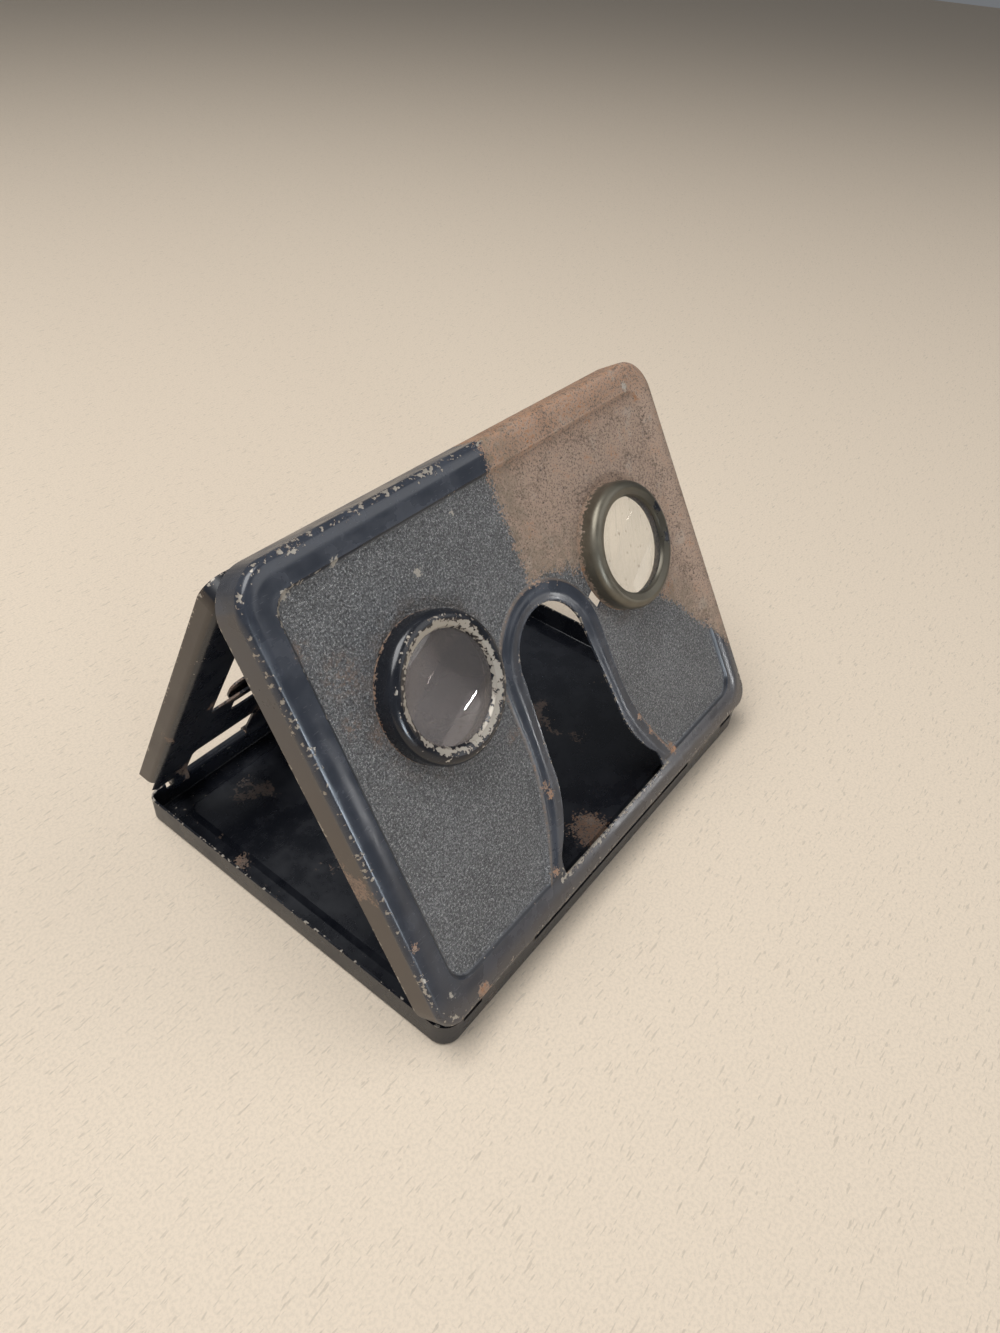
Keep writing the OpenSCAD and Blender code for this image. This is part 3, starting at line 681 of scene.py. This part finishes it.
def rust_lens_plate(paint, plate, at):
    """The large patch with its darker boundary, rust along the seam, spots, and the rear side."""
    graph, colours = paint.graph, paint.colours
    beyond = graph.less(at.across, PATCH_PLACE)
    fall = graph.product(beyond, graph.total(graph.product(beyond, PATCH_CURVE), PATCH_FALL))
    over = graph.product(graph.less(graph.total(at.up, fall), PATCH_HEIGHT), 0.8)
    patch = graph.least(graph.less(at.across, PATCH_LEFT), over, graph.less(at.band, 0.4))
    fresh = graph.product(graph.ramp(at.up, plate.height - 12.0, plate.height - 3.0), 0.55)
    paint.rust(patch, ragged=1.5, fresh=fresh, strength=paint.facing(-0.85, -0.6))
    beside = graph.product(graph.ramp(patch, 13.0, 2.0), graph.ramp(patch, -1.0, 1.0), at.front)
    cloudy = graph.ramp(paint.noise(scale=0.35, detail=4.0, roughness=0.7), 0.36, 0.60)
    paint.layer(graph.product(beside, cloudy, 0.55), colours.olive, roughness=0.75)
    seam = graph.less(0.35, graph.gap(at.band, 0.5))
    right_foot = graph.product(graph.ramp(at.across, 0.0, 6.0), graph.ramp(at.up, 27.0, 18.0))
    seam = graph.total(seam, graph.product(graph.less(right_foot, 1.0), 0.5))
    paint.rust(seam, ragged=0.3, fresh=0.9, strength=graph.product(at.past_border, 0.6))
    for spot in RUST_SPOTS:
        paint.rust(paint.spot(spot), ragged=0.6, fresh=0.8, strength=0.9)
    for spot in TIN_SPOTS:
        paint.layer(paint.patch(paint.spot(spot), 0.6), colours.tin, roughness=CHIP, metallic=0.4, rise=-0.01)
    rear = graph.less(graph.less(paint.noise(scale=0.045, detail=4.0), 0.62), at.front)
    paint.rust(graph.product(rear, 30.0), ragged=0.8, fresh=0.2, strength=0.7)


def lens_plate_material():
    """Gloss borders, a crackled field, chipped bends and the large rust patch."""
    plate = plate_sizes()
    paint = Finish("lens plate", *lens_plate_axes())
    at = lens_plate_places(paint, plate)
    at.past_border = paint.graph.product(at.front, paint.graph.ramp(at.field_edge, -0.4, 0.6))
    paint.ground(paint.colours.gloss, roughness=LACQUER)
    # The top flange is duller than the rest
    paint.shine = paint.graph.ramp(at.up, plate.height - 0.9, plate.height - 0.3, 0.5, 0.12)
    press_borders(paint, plate, at)
    lacquer_field(paint, plate, at)
    wear_and_light_lens_plate(paint, plate, at)
    rust_lens_plate(paint, plate, at)
    return paint.done()


def card_plate_material():
    """Worn gloss lacquer with chipped bends, window edges and thin rust."""
    plate = plate_sizes()
    paint = Finish("card plate", *card_plate_axes())
    graph = paint.graph
    across, up, out = graph.split(paint.position)
    aside = graph.math("ABSOLUTE", across)
    side = graph.less(plate.card_width / 2, aside)
    edge = graph.most(graph.least(side, graph.less(plate.card_height, up)), 0.0)
    paint.ground(paint.colours.inner, roughness=CARD_LACQUER)
    paint.chips(graph.total(edge, graph.math("ABSOLUTE", out)), reach=2.0, amount=0.41)
    # Side flanges tinted tan with a painted reflection of the pale table
    flank_reflection = graph.product(graph.ramp(side, 0.7, 0.5), graph.ramp(out, 0.8, 1.4), 0.5)
    paint.layer(flank_reflection, paint.colours.table_reflection_tan, roughness=0.4, metallic=0.3)
    paint.chips(graph.less(plate.card_flange, out), reach=0.9, amount=0.42)
    paint.chips(graph.gap(aside, plate.card_window / 2), reach=0.8, amount=0.34)
    low = graph.less(paint.noise(scale=0.05, detail=4.0), graph.ramp(up, 0.0, 40.0, 0.58, 0.66))
    paint.rust(graph.product(low, 30.0), ragged=1.0, fresh=0.25, strength=0.45)
    return paint.done()


def tray_material():
    """Worn lacquer inside the tray, with rust on its raised floor and chipped walls."""
    plate = plate_sizes()
    paint = Finish("tray", *LEVEL)
    graph = paint.graph
    up = graph.split(paint.position)[2]
    paint.ground(paint.colours.inner, roughness=TRAY_LACQUER)
    paint.chips(graph.less(plate.tray_wall, up), reach=0.8, amount=0.41)
    paint.chips(up, reach=1.0, amount=0.36)
    floor = graph.less(paint.noise(scale=0.055, detail=5.0, roughness=0.6), 0.67)
    paint.rust(graph.product(floor, 30.0), ragged=1.0, fresh=0.2, strength=0.22)
    paint.rust(paint.spot(FLOOR_RUST), ragged=1.8, fresh=0.8, strength=0.42)
    paint.rust(paint.spot(SIDE_RUST), ragged=1.2, fresh=0.4, strength=0.6)
    return paint.done()


def rim_paint(name, side):
    """Empty finish about the centre of a rim; side is -1 for the left one and 1 for the right."""
    plate = plate_sizes()
    origin, up, out = lens_plate_axes()
    centre = origin + (side * plate.lens_spacing / 2 * ACROSS + plate.lens_v * up) * MM
    return Finish(name, centre, up, out)


def black_rim_material():
    """Black rim chipped to tin round its opening and along its shoulder."""
    plate = plate_sizes()
    paint = rim_paint("left rim", -1)
    across, height, rise = paint.graph.split(paint.position)
    radius = paint.graph.radius(across, height)
    paint.ground(paint.colours.inner, roughness=RIM_LACQUER)
    paint.chips(paint.graph.less(radius, plate.rim_opening_r), reach=1.0, amount=0.60)
    paint.chips(paint.graph.less(radius, plate.rim_shoulder_r), reach=0.9, amount=0.40)
    paint.rust(paint.graph.less(-0.5, rise), ragged=0.5, fresh=0.4, strength=0.8)
    return paint.done()


def bare_rim_material():
    """Bare rim with painted shade darkening it to the right, and remains of black."""
    paint = rim_paint("right rim", 1)
    across, height, rise = paint.graph.split(paint.position)
    # Painted shade: darker towards the rim's right side
    shaded_right = paint.graph.product(paint.graph.ramp(across, -6.0, 9.0), 0.8)
    paint.ground(paint.colours.bare_rim, roughness=0.34, metallic=0.70)
    paint.layer(shaded_right, scaled(paint.colours.bare_rim, 0.45), roughness=0.34, metallic=0.7)
    for spot in BLACK_REMAINS:
        remains = paint.patch(paint.spot(spot), 0.4)
        paint.layer(remains, paint.colours.rim_black, roughness=0.16, rise=0.03)
    paint.rust(paint.graph.less(0.2, rise), ragged=0.8, fresh=0.2, strength=0.8)
    return paint.done()


def wire_material():
    """Dull steel wire with rust."""
    paint = Finish("hinge wire", *LEVEL)
    paint.ground(paint.colours.wire, roughness=0.42, metallic=0.8)
    patches = paint.graph.product(paint.graph.less(paint.noise(scale=0.3), 0.48), 12.0)
    paint.rust(patches, ragged=0.8, fresh=0.3, strength=0.9)
    return paint.done()


def glass_material(name, tint, cloudy, transmission, roughest):
    """Old glass: its roughness and tint vary in soft clouds, with specks of dust.

    cloudy is the factor on the tint in the clouds.
    """
    material, graph, shader = new_material(name)
    place = graph.node("ShaderNodeTexCoord").outputs["Object"]
    cloud = graph.ramp(graph.noise(place, scale=60.0, detail=1.0, roughness=0.5), 0.38, 0.62)
    dust = graph.product(graph.ramp(graph.cells(place, 420.0), 0.16, 0.10), 0.6)
    shade = graph.mix(cloud, tuple(tint), scaled(tint, cloudy))
    shade = graph.mix(dust, shade, tuple(bpy.context.scene.stereoscope_finish.dust))
    graph.put(shader.inputs["Base Color"], shade)
    graph.put(shader.inputs["Roughness"], graph.ramp(cloud, 0.0, 1.0, 0.0, roughest))
    shader.inputs["Transmission Weight"].default_value = transmission
    shader.inputs["IOR"].default_value = 1.52
    return material


def dress(node, material):
    """Puts one material on every slot of a frame node."""
    if node not in frame["nodes"]:
        raise RuntimeError(f"the frame has no {node}")
    piece = frame["nodes"][node]
    if not piece.data.materials:
        piece.data.materials.append(material)
    for slot in range(len(piece.data.materials)):
        piece.data.materials[slot] = material


def grid_faces(rows, columns, start=0, flip=False):
    """Four-cornered faces of a grid of points, row by row."""
    index = np.arange(rows * columns).reshape(rows, columns) + start
    corners = (index[:-1, :-1], index[:-1, 1:], index[1:, 1:], index[1:, :-1])
    faces = np.stack([corner.ravel() for corner in corners], axis=1)
    return faces[:, ::-1] if flip else faces


def sagitta(plate, distance):
    """Depth of a lens face's curve at a distance from its centre."""
    return plate.lens_face_r - np.sqrt(plate.lens_face_r ** 2 - distance ** 2)


def lens_surface(plate, cells=56):
    """Biconvex lens about its own centre, in millimetres.

    A square grid (s, t) from -1 to 1 is bent to a disc: x = s * sqrt(1 - t * t / 2) and
    y = t * sqrt(1 - s * s / 2), times the lens radius. Its height is the half edge plus the
    sagitta of the lens edge less that of the point. The rear face mirrors the front one,
    and a wall joins the two borders.
    """
    radius = plate.lens_d / 2
    s, t = np.meshgrid(np.linspace(-1, 1, cells + 1), np.linspace(-1, 1, cells + 1))
    x = radius * s * np.sqrt(1 - t * t / 2)
    y = radius * t * np.sqrt(1 - s * s / 2)
    z = plate.lens_edge / 2 + sagitta(plate, radius) - sagitta(plate, np.hypot(x, y))
    front = np.stack([x.ravel(), y.ravel(), z.ravel()], axis=1)
    rear = front * (1, 1, -1)
    count = (cells + 1) ** 2
    index = np.arange(count).reshape(cells + 1, cells + 1)
    border = np.concatenate([index[0, :-1], index[:-1, -1], index[-1, :0:-1], index[:0:-1, 0]])
    following = np.roll(border, -1)
    wall = np.stack([border, border + count, following + count, following], axis=1)
    faces = np.concatenate([grid_faces(cells + 1, cells + 1),
                            grid_faces(cells + 1, cells + 1, count, flip=True), wall])
    return np.concatenate([front, rear]), faces


def add_piece(name, points, faces, material, body, sharp=30.0):
    """Mesh object from points in metres, riding on a body; sharp is an angle in degrees."""
    mesh = bpy.data.meshes.new(name)
    mesh.from_pydata(points.tolist(), [], faces.tolist())
    mesh.polygons.foreach_set("use_smooth", np.ones(len(mesh.polygons), dtype=bool))
    mesh.set_sharp_from_angle(angle=math.radians(sharp))
    mesh.materials.append(material)
    mesh.update()
    piece = bpy.data.objects.new(name, mesh)
    bpy.context.scene.collection.objects.link(piece)
    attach(piece, body)
    return piece


class STEREOSCOPE_OT_effects(bpy.types.Operator):
    """Builds the shared node groups for wear, rust, crackle and grime"""
    bl_idname = "stereoscope.effects"
    bl_label = "Build the shared effects"

    def execute(self, context):
        for build in (build_sheet_position, build_chips, build_patch, build_crackle, build_rust, build_grime):
            build()
        return {"FINISHED"}


class STEREOSCOPE_OT_sheets(bpy.types.Operator):
    """Lacquers and wears the tray, the two plates and the hinge wires"""
    bl_idname = "stereoscope.sheets"
    bl_label = "Dress the sheets"

    def execute(self, context):
        dress("lens_plate", lens_plate_material())
        dress("card_plate", card_plate_material())
        dress("base_tray", tray_material())
        wire = wire_material()
        dress("front_hinge_wire", wire)
        dress("rear_hinge_wire", wire)
        return {"FINISHED"}


class STEREOSCOPE_OT_rims(bpy.types.Operator):
    """Dresses the black left rim and the bare right one"""
    bl_idname = "stereoscope.rims"
    bl_label = "Dress the rims"

    def execute(self, context):
        dress("left_lens_rim", black_rim_material())
        dress("right_lens_rim", bare_rim_material())
        return {"FINISHED"}


class STEREOSCOPE_OT_lenses(bpy.types.Operator):
    """Makes the two lenses, one clouded and one clear"""
    bl_idname = "stereoscope.lenses"
    bl_label = "Make the lenses"

    def execute(self, context):
        plate = plate_sizes()
        colours = context.scene.stereoscope_finish
        origin, up, out = lens_plate_axes()
        axes = np.array([ACROSS, up, out])
        points, faces = lens_surface(plate)
        # Each lens rests on the edge of its aperture
        seat = sagitta(plate, plate.lens_d / 2) - sagitta(plate, plate.aperture_d / 2)
        middle = seat + plate.lens_edge / 2 - plate.field_depth
        clouded = glass_material("left glass", colours.left_glass, cloudy=0.55, transmission=0.90,
                                 roughest=0.008)
        clear = glass_material("right glass", colours.right_glass, cloudy=0.90, transmission=0.97,
                               roughest=0.02)
        for side, name, slot, material in ((-1, "left_lens", "left_glass", clouded),
                                           (1, "right_lens", "right_glass", clear)):
            centre = np.array((side * plate.lens_spacing / 2, plate.lens_v, middle))
            placed = np.array(origin) + (points + centre) @ axes * MM
            piece = add_piece(name + "_glass", placed, faces, material, "lens_side")
            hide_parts(name)
        return {"FINISHED"}


def table_material(settings):
    """Pale paper with a fine grain and darker fibres that lie in three directions."""
    material, graph, shader = new_material("table")
    place = graph.node("ShaderNodeTexCoord").outputs["Object"]
    pale = tuple(settings.table_colour)
    grain = graph.ramp(graph.noise(place, scale=1500.0, roughness=0.7), 0.35, 0.60)
    paper = graph.mix(grain, scaled(pale, 0.90), pale)
    for turn, stretch in ((0.5, 6.0), (1.9, 5.0), (2.8, 7.0)):
        turned = graph.node("ShaderNodeMapping")
        graph.put(turned.inputs["Vector"], place)
        turned.inputs["Rotation"].default_value = (0.0, 0.0, turn)
        turned.inputs["Scale"].default_value = (1.0, stretch, 1.0)
        strands = graph.noise(turned.outputs["Vector"], scale=240.0, detail=2.0, roughness=0.5)
        fibre = graph.product(graph.ramp(strands, 0.655, 0.70), 0.5)
        paper = graph.mix(fibre, paper, scaled(pale, 0.62))
    graph.put(shader.inputs["Base Color"], paper)
    shader.inputs["Roughness"].default_value = 0.7
    return material


def place_table(context, settings):
    """The pale table that the object stands on."""
    half = settings.table_size / 2
    mesh = bpy.data.meshes.new("table")
    mesh.from_pydata([(-half, -half, 0.0), (half, -half, 0.0), (half, half, 0.0), (-half, half, 0.0)], [],
                     [(0, 1, 2, 3)])
    mesh.materials.append(table_material(settings))
    table = bpy.data.objects.new("table", mesh)
    context.scene.collection.objects.link(table)


def place_lamps(context, settings):
    """The lamps, and weak light from all sides."""
    for lamp in LAMPS:
        data = bpy.data.lights.new(lamp.name, "AREA")
        data.shape = "RECTANGLE"
        data.energy = lamp.watts
        data.size, data.size_y = lamp.size
        data.color = lamp.colour
        data.spread = lamp.spread
        placed = bpy.data.objects.new(lamp.name, data)
        placed.location = lamp.place
        placed.rotation_euler = (Vector(lamp.aim) - Vector(lamp.place)).to_track_quat("-Z", "Y").to_euler()
        context.scene.collection.objects.link(placed)
    world = bpy.data.worlds.new("room")
    world.use_nodes = True
    background = world.node_tree.nodes["Background"]
    background.inputs["Color"].default_value = (*settings.room_colour, 1.0)
    background.inputs["Strength"].default_value = settings.room_light
    context.scene.world = world


def place_camera(context, settings):
    """The camera that the photograph was taken with, solved from its edges."""
    data = bpy.data.cameras.new("camera")
    data.sensor_width = FILM_LENGTH
    data.lens = settings.focal_length
    data.shift_x, data.shift_y = settings.shift
    data.clip_start = NEAREST_SEEN
    camera = bpy.data.objects.new("camera", data)
    turn = Matrix((CAMERA_RIGHT, -CAMERA_DOWN, -CAMERA_AHEAD)).transposed()
    camera.matrix_world = Matrix.Translation(settings.camera_place) @ turn.to_4x4()
    context.scene.collection.objects.link(camera)
    context.scene.camera = camera


class STEREOSCOPE_OT_stage(bpy.types.Operator):
    """Sets the table, the lamps and the camera"""
    bl_idname = "stereoscope.stage"
    bl_label = "Set the stage"

    def execute(self, context):
        settings = context.scene.stereoscope_stage
        place_table(context, settings)
        place_lamps(context, settings)
        place_camera(context, settings)
        context.scene.view_settings.view_transform = "Standard"
        return {"FINISHED"}


class STEREOSCOPE_PT_panel(bpy.types.Panel):
    """Lists the stereoscope's settings and steps"""
    bl_idname = "STEREOSCOPE_PT_panel"
    bl_label = "Folding stereoscope"
    bl_space_type = "VIEW_3D"
    bl_region_type = "UI"
    bl_category = "Stereoscope"

    def draw(self, context):
        for name, settings in SETTINGS:
            box = self.layout.box()
            for setting in settings.__annotations__:
                box.prop(getattr(context.scene, name), setting)
        for operator in OPERATORS:
            self.layout.operator(operator.bl_idname)


SETTINGS = (("stereoscope_plates", PlateSettings), ("stereoscope_finish", FinishSettings),
            ("stereoscope_stage", StageSettings))
OPERATORS = (STEREOSCOPE_OT_effects, STEREOSCOPE_OT_sheets, STEREOSCOPE_OT_rims, STEREOSCOPE_OT_lenses,
             STEREOSCOPE_OT_stage)


def register():
    for name, settings in SETTINGS:
        bpy.utils.register_class(settings)
        setattr(bpy.types.Scene, name, bpy.props.PointerProperty(type=settings))
    for cls in (*OPERATORS, STEREOSCOPE_PT_panel):
        bpy.utils.register_class(cls)


def unregister():
    for cls in (STEREOSCOPE_PT_panel, *reversed(OPERATORS)):
        bpy.utils.unregister_class(cls)
    for name, settings in reversed(SETTINGS):
        delattr(bpy.types.Scene, name)
        bpy.utils.unregister_class(settings)


def main():
    register()
    bpy.ops.stereoscope.effects()
    bpy.ops.stereoscope.sheets()
    bpy.ops.stereoscope.rims()
    bpy.ops.stereoscope.lenses()
    bpy.ops.stereoscope.stage()


if __name__ == "__main__":
    main()
